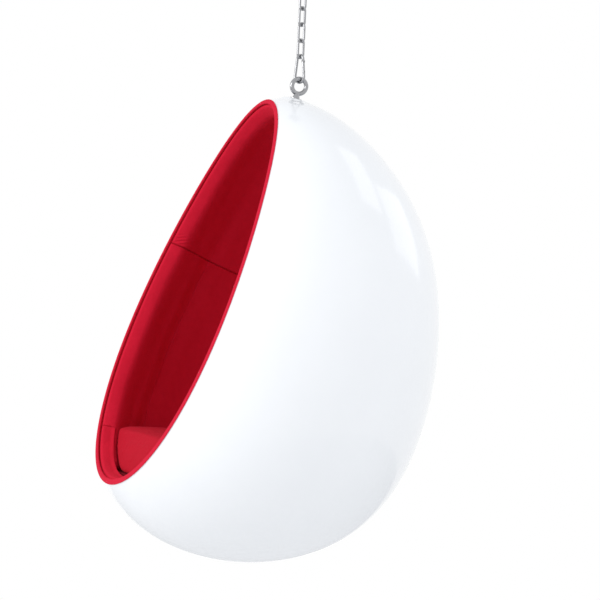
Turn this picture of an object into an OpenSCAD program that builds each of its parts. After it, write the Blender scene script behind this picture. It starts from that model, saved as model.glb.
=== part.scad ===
// Hanging egg chair: a moulded shell with an upholstered inside and a loose seat
// cushion, hung from a snap hook, a welded chain and a ceiling swivel.
// Millimetres. The origin is the middle of the ceiling plate's upper face, +Z is up
// and the mouth of the egg looks along -Y.

/* [Egg shell] */
// Radius of the egg about its long axis
egg_r = 415; // [395:1:430]
// Half the egg's length along its long axis
egg_half = 573; // [550:1:600]
// Lean of the long axis, top backwards, in degrees
egg_lean = 15.5; // [13:0.5:18]
// How much slimmer the egg is above its middle
egg_taper = 0.17; // [0.13:0.01:0.20]
// How much fuller the egg's two ends are
egg_fullness = 0.065; // [0.03:0.005:0.09]
// How far the crown bends forward of the long axis
crown_bend = 99; // [80:1:110]
// How far the foot bends forward of the long axis
foot_bend = 34; // [20:1:45]
// Wall of the moulded shell
shell_t = 6; // [4:0.5:8]

/* [Mouth] */
// Distance from the egg's centre to the plane of the mouth
mouth_reach = 247; // [238:1:256]
// Lean of the mouth, top backwards, in degrees
mouth_lean = 21.3; // [20:0.1:23]
// Width of the bead over the edge of the shell
bead_w = 13; // [12.5:0.1:16]
// How far the bead stands in front of the edge
bead_front = 4.2; // [3:0.1:6]
// How far the bead's outer lip laps over the shell
bead_lap = 3.4; // [2:0.1:6]
// How far the bead's inner lip laps over the shell
bead_inner_lap = 6.6; // [5:0.1:9]

/* [Upholstery] */
// Thickness of the padding on the walls
pad_t = 33; // [24:1:36]
// Extra thickness of the padding in the roll round the mouth
roll_rise = 4; // [3:0.5:10]
// Depth of the front roll, from the mouth inwards
front_roll_d = 36; // [32:1:42]
// Height of the cross seam above the middle of the mouth
head_seam = 131; // [110:1:150]
// Depth of the seams between the side pads and the back pad
side_seam = 130; // [110:1:150]
// How far the pads thin out at those seams
seam_dip = 6; // [3:0.5:9]
// How far below the mouth's middle the front seams lie, in degrees
front_seam = 46.5; // [40:0.5:50]
// Width of the tack strip behind the roll
strip_w = 20; // [14:1:22]
// Thickness of the tack strip
strip_t = 4; // [3:0.5:5]

/* [Seat] */
// Height of the seat deck's upper face, from the egg's centre
deck_top = -352; // [-362:1:-340]
// Thickness of the seat deck
deck_t = 12; // [9:1:15]
// Depth of the cleats under the deck
cleat_h = 30; // [22:1:36]
// How far the cleats stand out from the shell at their lower edge
cleat_out = 14; // [12:1:20]
// Diameter of the deck screws
deck_screw_d = 4; // [3.5:0.5:5]
// Length of the deck screws
deck_screw_l = 30; // [25:1:36]
// Height of the cushion at its edge
cushion_h = 106; // [90:1:125]
// Rise of the cushion's crown above its edge
cushion_crown = 12; // [5:1:20]
// How far the cushion's sides draw in at the edges
cushion_draw = 10; // [6:1:18]
// Gap between the cushion and the padding beside it
cushion_gap = 2; // [1:0.5:4]

/* [Eye] */
// Stock of the eye
eye_wire = 11; // [9:0.5:12]
// Inner diameter of the eye
eye_in = 26; // [24:1:32]
// Diameter of the eye's neck at its foot
neck_d = 19; // [16:0.5:22]
// Height of the neck below the eye
neck_h = 7; // [5:0.5:12]
// Diameter of the eye's shank
shank_d = 12; // [10:1:14]
// Lean of the eye, top backwards, in degrees
eye_lean = 13; // [9:0.5:15]
// Depth of the eye's foot behind the plane of the mouth
eye_depth = 64.6; // [61:0.1:72]
// Height of the flat above the shell's highest point under the neck's washer
flat_rise = 0.9; // [0.6:0.1:2]
// Diameter of the flat
flat_d = 48; // [40:1:54]
// Outer diameter of the washer under the neck
neck_washer_d = 30; // [26:1:36]
// Thickness of that washer
neck_washer_t = 1.5; // [1:0.25:2.5]
// Diameter of the backing plate
backing_d = 70; // [50:1:74]
// Thickness of the backing plate
backing_t = 4; // [3:0.5:5]
// Thickness of the lock washer
lock_t = 2.5; // [2:0.25:3]
// Height of the nut
eye_nut_h = 10; // [8:0.5:11]
// Width of the nut across its flats
eye_nut_af = 19; // [18:0.5:24]

/* [Snap hook] */
// Wire of the snap hook
hook_wire = 7; // [6:0.5:8]
// Distance between the wires' middles at the top and at the bottom
hook_len = 67; // [60:1:80]
// Distance between the wires' middles across the top bow
hook_top_w = 20; // [19:0.5:24]
// Distance between the wires' middles across the bottom bow
hook_low_w = 30; // [28:0.5:36]
// Length of the gate, from its pin
gate_len = 29; // [26:0.5:32]
// Distance of the gate's pin from the end of the top bow
gate_pin_off = 5; // [4.5:0.25:7]
// Diameter of the gate's pin
gate_pin_d = 2.5; // [2:0.25:3]
// Thickness of the hook's tongues
tongue_t = 3; // [2.5:0.25:3.5]
// Diameter of the gate's spring
gate_spring_d = 3.2; // [2:0.2:3.4]
// Length of the gate's spring
gate_spring_l = 11; // [8:0.5:14]

/* [Chain] */
// Wire of the chain
link_wire = 6; // [5:0.5:6.5]
// Inner length of a link
link_in = 40; // [36:1:46]
// Inner width of a link
link_in_w = 13; // [12:0.5:16]
// Turn of the chain about the vertical, in degrees
chain_yaw = 26; // [15:1:35]
// Gap at rest between wires that bear on each other
bearing_gap = 0.3; // [0.2:0.05:0.5]

/* [Ceiling fitting] */
// Diameter of the ceiling plate
plate_d = 100; // [90:1:120]
// Thickness of the ceiling plate
plate_t = 6; // [4:0.5:8]
// Diameter of the circle of screw holes
hole_circle_d = 76; // [72:1:84]
// Diameter of a screw hole
hole_d = 8.5; // [6:0.5:10]
// Height of the bracket under the plate
bracket_h = 35; // [32:1:45]
// Width inside the bracket
bracket_in = 40; // [34:1:44]
// Depth of the bracket from front to back
bracket_w = 30; // [24:1:36]
// Thickness of the bracket's steel
bracket_t = 5; // [4:0.5:6]
// Diameter of the swivel's shank
swivel_d = 12; // [10:1:14]
// Diameter of the swivel's collar
collar_d = 20; // [18:0.5:24]
// Thickness of the swivel's collar
collar_t = 4; // [3:0.5:6]
// Wire of the swivel's ring
swivel_wire = 7; // [6:0.5:8]
// Inner diameter of the swivel's ring
swivel_in = 24; // [22:1:30]
// Outer diameter of the thrust washer
thrust_d = 28; // [24:1:32]
// Thickness of the thrust washer
thrust_t = 1.6; // [1:0.2:2.5]
// Width of the swivel's nut across its flats
swivel_nut_af = 18; // [17:0.5:22]
// Height of the swivel's nut
swivel_nut_h = 10; // [8:0.5:12]

/* [Hidden] */
$fn = 64;

steel = [0.72, 0.73, 0.75];
white = [0.96, 0.96, 0.97];
red = [0.76, 0.08, 0.16];
timber = [0.78, 0.62, 0.42];

// Clearances
fit_gap = 0.05;      // radial, pin or shank in its bore
bolt_gap = 0.2;      // radial, shank through a washer or the shell
seat_gap = 0.8;      // bead off the shell, where their facets run together
strip_gap = 1.1;     // tack strip off the shell
wall_gap = 1.9;      // padding and cleats off the shell's flat facets
swivel_play = 0.3;   // swivel's collar under the web
plate_gap = 2.1;     // backing plate's rim off the shell's inner face
pocket_gap = 3;      // padding round the backing plate
roll_gap = 1;        // cushion, deck and pads behind the front roll
face_gap = 0.3;      // pads at their seams, each side
gate_gap = 0.5;      // gate's end off the nose
deck_gap = 2;        // deck's rim off the shell
spring_gap = 0.3;    // spring off the hook's tongue
weld = 0.5;          // how far a straight of the hook runs into its bows
weld_step = 0.04;    // how much thinner the straights of the hook are

// ---- Heights of the hanging parts, from the ceiling down ----
web_z = -plate_t - bracket_h;
collar_z = web_z - swivel_play;
ring_sink = 2;
swivel_r = (swivel_in + swivel_wire) / 2;
swivel_z = collar_z - collar_t + ring_sink - swivel_in / 2 - swivel_wire;
link_len = link_in + link_wire;
link_r = (link_in_w + link_wire) / 2;
link_pitch = link_in - bearing_gap;
link_z5 = swivel_z - swivel_r + (swivel_wire + link_wire) / 2 + bearing_gap;
link_end = link_z5 - 4 * link_pitch - link_len;
hook_z = link_end + (link_wire + hook_wire) / 2 + bearing_gap;
hook_low = hook_z - hook_len;
eye_r = (eye_in + eye_wire) / 2;
eye_z = hook_low + (hook_wire + eye_wire) / 2 + bearing_gap - eye_r;

// ---- The egg: a round body about a leaning, bent spine ----
bend_odd = (crown_bend - foot_bend) / 2;
bend_even = (crown_bend + foot_bend) / 2;
function clamp1(t) = max(-1, min(1, t));
function bend(t) = -bend_odd * pow(t, 3) - bend_even * pow(t, 4);
function round_r(t, inset) =
    (egg_r - inset) * sqrt(max(0, 1 - t * t)) * (1 - egg_taper * t + egg_fullness * t * t);
function over(t) = abs(t) < 1 ? 0 : 1000 * (abs(t) - 1) + 1;
// Distance of a point outside the egg drawn in by inset, negative when inside
function outside(p, inset) =
    let (yl = p.y * cos(egg_lean) - p.z * sin(egg_lean))
    let (zl = p.y * sin(egg_lean) + p.z * cos(egg_lean))
    let (t = zl / (egg_half - inset))
    norm([p.x, yl - bend(clamp1(t))]) - round_r(clamp1(t), inset) + over(t);
// Length from o along d to that surface, by halving
function reach(o, d, inset, lo = 0, hi = 1400, n = 26) =
    n == 0 ? (lo + hi) / 2 :
    let (m = (lo + hi) / 2)
    outside(o + d * m, inset) > 0 ? reach(o, d, inset, lo, m, n - 1)
                                  : reach(o, d, inset, m, hi, n - 1);
function wall(o, d, inset) = o + d * reach(o, d, inset);

// ---- Directions at the mouth: inwards, and up in its plane ----
inward = [0, cos(mouth_lean), -sin(mouth_lean)];
upward = [0, sin(mouth_lean), cos(mouth_lean)];
function at_mouth(s, depth) = inward * (depth - mouth_reach) + upward * s;
rim_top = reach(at_mouth(0, 0), upward, 0);
rim_foot = -reach(at_mouth(0, 0), -upward, 0);
rim_mid = (rim_top + rim_foot) / 2;
rim_tall = (rim_top - rim_foot) / 2;
rim_half = reach(at_mouth(rim_mid, 0), [1, 0, 0], 0);
// Direction from height s on the mouth's middle line to the point at angle a on the rim
function rim_dir(a, s) =
    let (v = [rim_half * cos(a), rim_mid + rim_tall * sin(a) - s])
    let (u = v / norm(v))
    [u.x, 0, 0] + upward * u.y;
// Point on the wall at a depth behind the mouth
function rim_pt(a, s, depth, inset) = wall(at_mouth(s, depth), rim_dir(a, s), inset);
// Point on the wall at elevation v behind a plane parallel to the mouth
function bowl_pt(a, s, depth, v, inset) =
    wall(at_mouth(s, depth), rim_dir(a, s) * cos(v) + inward * sin(v), inset);

// ---- Where the eye stands on the egg ----
eye_axis = [0, sin(eye_lean), cos(eye_lean)];
eye_side = [0, cos(eye_lean), -sin(eye_lean)];
eye_foot = wall(at_mouth(0, eye_depth), upward, 0);
flat_z = -eye_in / 2 - eye_wire - neck_h - neck_washer_t;
// Where the line along the eye's axis, r from its middle on side a, leaves the shell,
// measured along the axis from the eye's foot
plumb = 60;
function shell_rise(a, r, inset) =
    reach(eye_foot - eye_axis * plumb + ([cos(a), 0, 0] + eye_side * sin(a)) * r,
          eye_axis, inset) - plumb;
flat_up = flat_rise + max([for (a = [0 : 15 : 345]) shell_rise(a, neck_washer_d / 2, 0)]);
eye_on_egg = eye_foot + eye_axis * (flat_up - flat_z);
egg_place = [0, -eye_on_egg.y, eye_z - eye_on_egg.z];
// The backing plate's rim stays under the shell's inner face all round
flat_t = flat_up + plate_gap - min([for (a = [0 : 15 : 345]) shell_rise(a, backing_d / 2, shell_t)]);
back_z = flat_z - flat_t;
lock_z = back_z - backing_t;
eye_nut_z = lock_z - lock_t;
shank_over = 3;

module in_egg() translate(egg_place) children();
module in_eye() translate([0, 0, eye_z]) rotate([-eye_lean, 0, 0]) children();

// Triangles between two chains of points that run side by side, each point given as
// [its index, how far along it lies]
function zip(a, b, i = 0, k = 0) =
    i == len(a) - 1 && k == len(b) - 1 ? [] :
    let (step_a = k == len(b) - 1 || (i < len(a) - 1 && a[i + 1][1] <= b[k + 1][1]))
    step_a ? concat([[a[i][0], a[i + 1][0], b[k][0]]], zip(a, b, i + 1, k))
           : concat([[a[i][0], b[k + 1][0], b[k][0]]], zip(a, b, i, k + 1));

// A solid through a row of alike closed sections. Two neighbouring points of the section
// may be poles that all sections share. On an open row, marks say how far along each
// point lies, on a front chain that ends at split and a back chain that comes back.
module swept(sec, closed = false, pole = -1, marks = [], split = 0) {
    n = len(sec);
    m = len(sec[0]);
    function shared(j) = pole >= 0 && (j == pole || j == pole + 1);
    function at(i, j) = shared(j) ? j : (i % n) * m + j;
    quads = [for (i = [0 : n - (closed ? 1 : 2)], j = [0 : m - 1])
        let (a = at(i, j), b = at(i, (j + 1) % m))
        let (c = at(i + 1, (j + 1) % m), d = at(i + 1, j))
        each [[a, b, c], [a, c, d]]];
    sides = [for (t = quads) if (t[0] != t[1] && t[1] != t[2] && t[2] != t[0]) t];
    function cap(i) = zip([for (j = [0 : split]) [at(i, j), marks[j]]],
                          [for (j = [m - 1 : -1 : split + 1]) [at(i, j), marks[j]]]);
    caps = closed ? [] : concat([for (t = cap(0)) [t[2], t[1], t[0]]], cap(n - 1));
    polyhedron(points = [for (s = sec) each s], faces = concat(sides, caps), convexity = 8);
}

// A ring or part of one in the XZ plane, angles from +X towards +Z
module bow(r, wire, from, to) {
    rotate([90, 0, 0]) rotate([0, 0, from])
        rotate_extrude(angle = to - from) translate([r, 0]) circle(d = wire);
}

module hexagon(af, h) cylinder(h = h, d = af / cos(30), $fn = 6);

// ---- Ceiling fitting ----
module ceiling_plate() {
    color(steel) difference() {
        translate([0, 0, -plate_t]) cylinder(h = plate_t, d = plate_d);
        for (a = [45 : 90 : 315]) rotate([0, 0, a])
            translate([hole_circle_d / 2, 0, -plate_t - 1]) cylinder(h = plate_t + 2, d = hole_d);
    }
}

module swivel_bracket() {
    outer = bracket_in + 2 * bracket_t;
    color(steel) difference() {
        translate([-outer / 2, -bracket_w / 2, web_z]) cube([outer, bracket_w, bracket_h]);
        translate([-bracket_in / 2, -bracket_w, web_z + bracket_t])
            cube([bracket_in, 2 * bracket_w, bracket_h]);
        translate([0, 0, web_z - 1])
            cylinder(h = bracket_t + 2, d = swivel_d + 2 * fit_gap);
    }
}

module thrust_washer() {
    color(steel) translate([0, 0, web_z + bracket_t]) difference() {
        cylinder(h = thrust_t, d = thrust_d);
        translate([0, 0, -1]) cylinder(h = thrust_t + 2, d = swivel_d + 2 * fit_gap);
    }
}

nut_z = web_z + bracket_t + thrust_t;

module swivel_eye() {
    shank = nut_z + swivel_nut_h + shank_over - collar_z;
    color(steel) rotate([0, 0, chain_yaw]) {
        translate([0, 0, swivel_z]) rotate([90, 0, 0])
            rotate_extrude() translate([swivel_r, 0]) circle(d = swivel_wire);
        translate([0, 0, collar_z - collar_t]) cylinder(h = collar_t, d = collar_d);
        translate([0, 0, collar_z]) cylinder(h = shank, d = swivel_d);
    }
}

module swivel_nut() {
    color(steel) rotate([0, 0, chain_yaw]) translate([0, 0, nut_z]) difference() {
        hexagon(swivel_nut_af, swivel_nut_h);
        translate([0, 0, -1]) cylinder(h = swivel_nut_h + 2, d = swivel_d + 2 * fit_gap);
    }
}

// ---- Chain: link k of five, counted from the hook ----
module chain_link(k) {
    color(steel) translate([0, 0, link_z5 - (5 - k) * link_pitch])
        rotate([0, 0, chain_yaw + (k % 2 == 1 ? 90 : 0)]) {
            translate([0, 0, -link_r]) bow(link_r, link_wire, 0, 180);
            translate([0, 0, link_r - link_len]) bow(link_r, link_wire, 180, 360);
            for (x = [-link_r, link_r]) translate([x, 0, link_r - link_len])
                cylinder(h = link_len - 2 * link_r, d = link_wire);
        }
}
module chain_link_5() chain_link(5);
module chain_link_4() chain_link(4);
module chain_link_3() chain_link(3);
module chain_link_2() chain_link(2);
module chain_link_1() chain_link(1);

// ---- Snap hook, in its own plane, with the middle of its top wire at the origin ----
hook_rt = hook_top_w / 2;
hook_rl = hook_low_w / 2;
hook_span = hook_len - hook_rt - hook_rl;
leg_tilt = asin((hook_rl - hook_rt) / hook_span);
leg_len = hook_span * cos(leg_tilt);
nose_at = gate_pin_off + gate_len + gate_gap;
barrel_d = hook_wire - 0.6;
tongue_w = hook_wire - 1;
slot_t = tongue_t + 0.4;
slot_end = gate_pin_off + tongue_w / 2 + 1;

module in_hook() translate([0, 0, hook_z]) rotate([0, 0, chain_yaw]) children();
// Frame on the gate's side: +Z runs down the leg from the top bow, +X looks inwards
module on_leg() {
    in_hook() translate([hook_rt * cos(leg_tilt), 0, -hook_rt + hook_rt * sin(leg_tilt)])
        rotate([0, 180 - leg_tilt, 0]) children();
}

module hook_body() {
    color(steel) difference() {
        union() {
            in_hook() {
                translate([0, 0, -hook_rt]) bow(hook_rt, hook_wire, leg_tilt, 180 - leg_tilt);
                translate([0, 0, hook_rl - hook_len])
                    bow(hook_rl, hook_wire, 180 - leg_tilt, 360 + leg_tilt);
                translate([-hook_rt * cos(leg_tilt), 0, -hook_rt + hook_rt * sin(leg_tilt)])
                    rotate([0, 180 + leg_tilt, 0]) translate([0, 0, -weld])
                        cylinder(h = leg_len + 2 * weld, d = hook_wire - weld_step);
            }
            on_leg() {
                translate([-tongue_w / 2, -tongue_t / 2, -weld])
                    cube([tongue_w, tongue_t, gate_pin_off + weld]);
                translate([0, tongue_t / 2, gate_pin_off]) rotate([90, 0, 0])
                    cylinder(h = tongue_t, d = tongue_w);
                translate([0, 0, nose_at])
                    cylinder(h = leg_len + weld - nose_at, d = hook_wire - weld_step);
                translate([-tongue_w / 2 + 0.5, -tongue_t / 2, nose_at - 4])
                    cube([tongue_w - 1, tongue_t, 5]);
            }
        }
        on_leg() translate([0, hook_wire, gate_pin_off]) rotate([90, 0, 0])
            cylinder(h = 2 * hook_wire, d = gate_pin_d + 2 * fit_gap);
    }
}

module gate_pin() {
    color(steel) on_leg() translate([0, barrel_d / 2, gate_pin_off]) rotate([90, 0, 0])
        cylinder(h = barrel_d, d = gate_pin_d);
}

module hook_gate() {
    color(steel) on_leg() difference() {
        union() {
            translate([0, 0, gate_pin_off]) cylinder(h = gate_len, d = hook_wire);
            translate([0, barrel_d / 2, gate_pin_off]) rotate([90, 0, 0])
                cylinder(h = barrel_d, d = barrel_d);
        }
        translate([-hook_wire, -slot_t / 2, -1]) cube([2 * hook_wire, slot_t, slot_end + 1]);
        translate([-hook_wire, -slot_t / 2, nose_at - 5]) cube([2 * hook_wire, slot_t, 6]);
        translate([0, 0, slot_end - 1])
            cylinder(h = gate_spring_l + 1, d = gate_spring_d + 2 * fit_gap);
        translate([0, hook_wire, gate_pin_off]) rotate([90, 0, 0])
            cylinder(h = 2 * hook_wire, d = gate_pin_d + 2 * fit_gap);
    }
}

module gate_spring() {
    start = gate_pin_off + tongue_w / 2 + spring_gap;
    color(steel) on_leg() translate([0, 0, start])
        cylinder(h = gate_spring_l + slot_end - start, d = gate_spring_d);
}

// ---- Eye and what holds it, in the eye's own frame ----
module eye_bolt() {
    neck_low = flat_z + neck_washer_t;
    shank = eye_nut_z - eye_nut_h - shank_over;
    color(steel) in_eye() {
        rotate([0, 0, 90]) rotate([90, 0, 0])
            rotate_extrude() translate([eye_r, 0]) circle(d = eye_wire);
        translate([0, 0, neck_low])
            cylinder(h = neck_h + eye_wire / 2, d1 = neck_d, d2 = eye_wire + 1);
        translate([0, 0, shank]) cylinder(h = neck_low - shank, d = shank_d);
    }
}

module eye_ring_washer(z, d, t) {
    in_eye() translate([0, 0, z]) difference() {
        cylinder(h = t, d = d);
        translate([0, 0, -1]) cylinder(h = t + 2, d = shank_d + 2 * bolt_gap);
    }
}
module neck_washer() color(steel) eye_ring_washer(flat_z, neck_washer_d, neck_washer_t);
module backing_plate() color(steel) eye_ring_washer(lock_z, backing_d, backing_t);
module lock_washer() color(steel) eye_ring_washer(eye_nut_z, eye_nut_af + 3, lock_t);
module eye_nut() {
    color(steel) in_eye() translate([0, 0, eye_nut_z - eye_nut_h]) difference() {
        hexagon(eye_nut_af, eye_nut_h);
        translate([0, 0, -1]) cylinder(h = eye_nut_h + 2, d = shank_d + 2 * fit_gap);
    }
}

// ---- Shell ----
rim_cols = 72;
function rim_angle(i) = -i * 360 / rim_cols;
shell_rows = concat([0, 3], [for (v = [8 : 5 : 85]) v]);
function shell_face(a, inset) = [for (v = shell_rows) bowl_pt(a, rim_mid, 0, v, inset)];
function back_to_front(list) = [for (i = [len(list) - 1 : -1 : 0]) list[i]];
function shell_section(a) = concat(
    shell_face(a, 0),
    [bowl_pt(a, rim_mid, 0, 90, 0), bowl_pt(a, rim_mid, 0, 90, shell_t)],
    back_to_front(shell_face(a, shell_t)));

module shell() {
    color(white) difference() {
        union() {
            in_egg() swept([for (i = [0 : rim_cols - 1]) shell_section(rim_angle(i))],
                           closed = true, pole = len(shell_rows));
            in_eye() translate([0, 0, back_z]) cylinder(h = flat_t, d = flat_d);
        }
        in_eye() translate([0, 0, back_z - 1])
            cylinder(h = flat_t + 2, d = shank_d + 2 * bolt_gap);
    }
}

// ---- Trim round the mouth: sections are [depth, inset] pairs ----
trim_in = shell_t + seat_gap;
pad_out = shell_t + wall_gap;
strip_in = shell_t + strip_gap;
strip_out = strip_in + strip_t;
strip_from = bead_inner_lap + 1;
strip_to = strip_from + strip_w;
function section_at(a, s, pairs) = [for (q = pairs) rim_pt(a, s, q[0], q[1])];

bead_in = bead_w - (bead_w - shell_t) / 2;
bead_out = bead_in - bead_w;
bead_section = [
    [bead_lap, -seat_gap], [-seat_gap, -seat_gap],
    [-seat_gap, trim_in], [bead_inner_lap, trim_in],
    [bead_inner_lap, bead_in - 1.2], [bead_inner_lap - 1.8, bead_in],
    [1.5, bead_in], [-bead_front + 2.6, bead_in - 1], [-bead_front + 0.7, bead_in - 3.4],
    [-bead_front, shell_t / 2], [-bead_front + 0.7, bead_out + 3.2],
    [-bead_front + 2.6, bead_out + 1], [0, bead_out + 0.2],
    [bead_lap - 1.2, bead_out + 0.4], [bead_lap, bead_out + 1.6]];

module edge_bead() {
    color(red) in_egg()
        swept([for (i = [0 : rim_cols - 1]) section_at(rim_angle(i), rim_mid, bead_section)],
              closed = true);
}

strip_section = [[strip_from, strip_in], [strip_to, strip_in],
                 [strip_to, strip_out], [strip_from, strip_out]];

module tack_strip() {
    color(timber) in_egg()
        swept([for (i = [0 : rim_cols - 1]) section_at(rim_angle(i), rim_mid, strip_section)],
              closed = true);
}

// ---- Padding ----
roll_face = bead_inner_lap - 1.4;
pad_foot = strip_out + wall_gap;
pad_in = pad_out + pad_t;
roll_in = pad_in + roll_rise;
clear_strip = strip_to + 1;
// Front face of the roll, from the bead over its crown
roll_front = [
    [bead_inner_lap + 0.4, pad_foot], [roll_face + 0.2, pad_foot + 4],
    [roll_face, roll_in - 21], [roll_face + 2.8, roll_in - 11],
    [roll_face + 10, roll_in - 3], [roll_face + 22, roll_in]];
roll_back = [[42, roll_in - 1.5], [68, pad_in + 2]];
pad_back_d = 70;     // depth of a row of points on the pads' backs
pad_heel = [[clear_strip, pad_out], [clear_strip, pad_foot]];

side_skin = concat(roll_front, roll_back,
    [[100, pad_in - 1], [side_seam - face_gap, pad_in - seam_dip]]);
side_section = concat(side_skin, [[side_seam - face_gap, pad_out], [pad_back_d, pad_out]], pad_heel);
front_skin = concat([for (i = [0 : 4]) roll_front[i]],
    [[roll_face + 18, roll_in], [front_roll_d - 5, roll_in - 3], [front_roll_d - 1, roll_in - 11],
     [front_roll_d, roll_in - 23]]);
front_section = concat(front_skin, [[front_roll_d, pad_out]], pad_heel);

// The seams' planes pass through these heights on the mouth's middle line
fan_s = rim_foot + 265;
head_s = head_seam + face_gap;
low_s = head_seam - face_gap;

bowl_rows = [10, 20, 30, 40, 50, 60, 70, 80];
function depths(pairs) = [for (q = pairs) q[0]];
function bowl_marks(rows) = [for (v = rows) side_seam + v];
head_skin = concat(roll_front, roll_back, [[side_seam, pad_in]]);
head_back = concat([[side_seam, pad_out], [pad_back_d, pad_out]], pad_heel);
head_marks = concat(depths(head_skin), bowl_marks(bowl_rows), bowl_marks([90, 90]),
                    bowl_marks(back_to_front(bowl_rows)), depths(head_back));
function head_section(a) = concat(
    section_at(a, head_s, head_skin),
    [for (v = bowl_rows) bowl_pt(a, head_s, side_seam, v, pad_in)],
    [bowl_pt(a, head_s, side_seam, 90, pad_in), bowl_pt(a, head_s, side_seam, 90, pad_out)],
    [for (v = back_to_front(bowl_rows)) bowl_pt(a, head_s, side_seam, v, pad_out)],
    section_at(a, head_s, head_back));

// Angle at which a plane square to the mouth, at height s, meets the rim
function seam_turn(s) = asin((s - rim_mid) / rim_tall);

module head_pad() {
    first = 180 - seam_turn(head_s);
    turn = 180 - 2 * seam_turn(head_s);
    color(red) difference() {
        in_egg() swept([for (i = [0 : 30]) head_section(first - i * turn / 30)],
                       pole = len(head_skin) + len(bowl_rows), marks = head_marks,
                       split = len(head_skin) + len(bowl_rows));
        in_eye() translate([0, 0, eye_nut_z - eye_nut_h - shank_over - 2])
            cylinder(h = 60, d = backing_d + 2 * pocket_gap);
    }
}

// Everything above the deck, and the space of the front roll between its seams
module above_deck() {
    in_egg() translate([-600, -600, deck_top + face_gap]) cube([1200, 1200, 1200]);
}
module front_roll_space() {
    p = rim_dir(180 + front_seam, fan_s);
    x = p.x * 700;
    s = p * upward * 700;
    in_egg() translate(at_mouth(fan_s, 0)) rotate([90 - mouth_lean, 0, 0])
        translate([0, 0, -front_roll_d - roll_gap]) linear_extrude(height = front_roll_d + 60)
            polygon([[0, face_gap], [x, s + face_gap], [x, -700], [-x, -700], [-x, s + face_gap]]);
}

module left_pad() {
    first = 180 - seam_turn(low_s);
    turn = 66 + seam_turn(low_s);
    color(red) intersection() {
        difference() {
            in_egg() swept([for (i = [0 : 20])
                section_at(first + (20 - i) * turn / 20, low_s, side_section)],
                marks = depths(side_section), split = len(side_skin) - 1);
            front_roll_space();
        }
        above_deck();
    }
}
module right_pad() mirror([1, 0, 0]) left_pad();

// The back pad swells between its seams
function swell(v) = pad_in - seam_dip * pow(cos(min(90, v * 3)), 2);
back_depth = side_seam + face_gap;
function back_section(a) = concat(
    [for (v = concat([0], bowl_rows)) bowl_pt(a, low_s, back_depth, v, swell(v))],
    [bowl_pt(a, low_s, back_depth, 90, pad_in), bowl_pt(a, low_s, back_depth, 90, pad_out)],
    [for (v = concat(back_to_front(bowl_rows), [0])) bowl_pt(a, low_s, back_depth, v, pad_out)]);

back_marks = bowl_marks(concat([0], bowl_rows, [90, 90], back_to_front(bowl_rows), [0]));

module back_pad() {
    last = seam_turn(low_s);
    turn = 180 + 2 * last;
    color(red) intersection() {
        in_egg() swept([for (i = [0 : 32]) back_section(360 + last - i * turn / 32)],
                       pole = 1 + len(bowl_rows), marks = back_marks,
                       split = 1 + len(bowl_rows));
        above_deck();
    }
}

module front_roll() {
    turn = 180 - 2 * front_seam;
    color(red) in_egg() swept([for (i = [0 : 20])
        section_at(360 - front_seam - i * turn / 20, fan_s, front_section)],
        marks = depths(front_section), split = len(front_skin) - 1);
}

// ---- Seat: level sections of the egg ----
deck_z = deck_top - deck_t;
seat_reach = 273.7;  // from behind the front roll to the middle of the deck
seat_y = y_at(front_roll_d, deck_top) + seat_reach;
function depth_of(y, z) = mouth_reach + y * cos(mouth_lean) - z * sin(mouth_lean);
function y_at(depth, z) = (depth - mouth_reach + z * sin(mouth_lean)) / cos(mouth_lean);
function level_r(z, a, inset) = reach([0, seat_y, z], [cos(a), sin(a), 0], inset);
function level_pt(z, a, inset, depth) =
    let (r = level_r(z, a, inset))
    [r * cos(a), max(seat_y + r * sin(a), y_at(depth, z)), z];

cleat_turn = 6;
function screw_at(a) =
    let (r = level_r(deck_z - cleat_h, a, pad_out) - cleat_out / 2 + 3)
    [r * cos(a), seat_y + r * sin(a), deck_top];
module at_screws(angles) {
    in_egg() for (a = angles) translate(screw_at(a)) children();
}
screw_head = deck_screw_d;
module screw_hole() {
    translate([0, 0, -deck_screw_l]) cylinder(h = deck_screw_l + 1, d = deck_screw_d + 2 * fit_gap);
    translate([0, 0, -screw_head / 2]) cylinder(h = screw_head / 2,
        d1 = deck_screw_d + 2 * fit_gap, d2 = 2 * deck_screw_d + 2 * fit_gap);
    cylinder(h = 1, d = 2 * deck_screw_d + 2 * fit_gap);
}

module seat_deck() {
    edge = [for (a = [0 : 5 : 355])
        level_pt(deck_z, a, shell_t + deck_gap, front_roll_d + roll_gap + deck_t / 2)];
    color(timber) difference() {
        in_egg() translate([0, 0, deck_z]) linear_extrude(height = deck_t)
            polygon([for (p = edge) [p.x, p.y]]);
        at_screws([45 : 90 : 315]) screw_hole();
    }
}

function cleat_section(a) =
    let (low = deck_z - cleat_h)
    let (top_r = level_r(deck_z, a, pad_out), low_r = level_r(low, a, pad_out))
    [for (q = [[top_r, deck_z], [low_r, low], [low_r - cleat_out, low], [low_r - cleat_out, deck_z]])
        [q[0] * cos(a), seat_y + q[0] * sin(a), q[1]]];
module cleat(a) {
    color(timber) difference() {
        in_egg() swept([for (i = [-3 : 3]) cleat_section(a + i * cleat_turn / 3)],
                       marks = [0, 1, 1, 0], split = 1);
        at_screws([a]) screw_hole();
    }
}
module cleat_back_right() cleat(45);
module cleat_back_left() cleat(135);
module cleat_front_left() cleat(225);
module cleat_front_right() cleat(315);

module deck_screws() {
    color(steel) at_screws([45 : 90 : 315]) {
        translate([0, 0, -deck_screw_l]) cylinder(h = deck_screw_l, d = deck_screw_d);
        translate([0, 0, -screw_head / 2])
            cylinder(h = screw_head / 2, d1 = deck_screw_d, d2 = 2 * deck_screw_d);
    }
}

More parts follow.
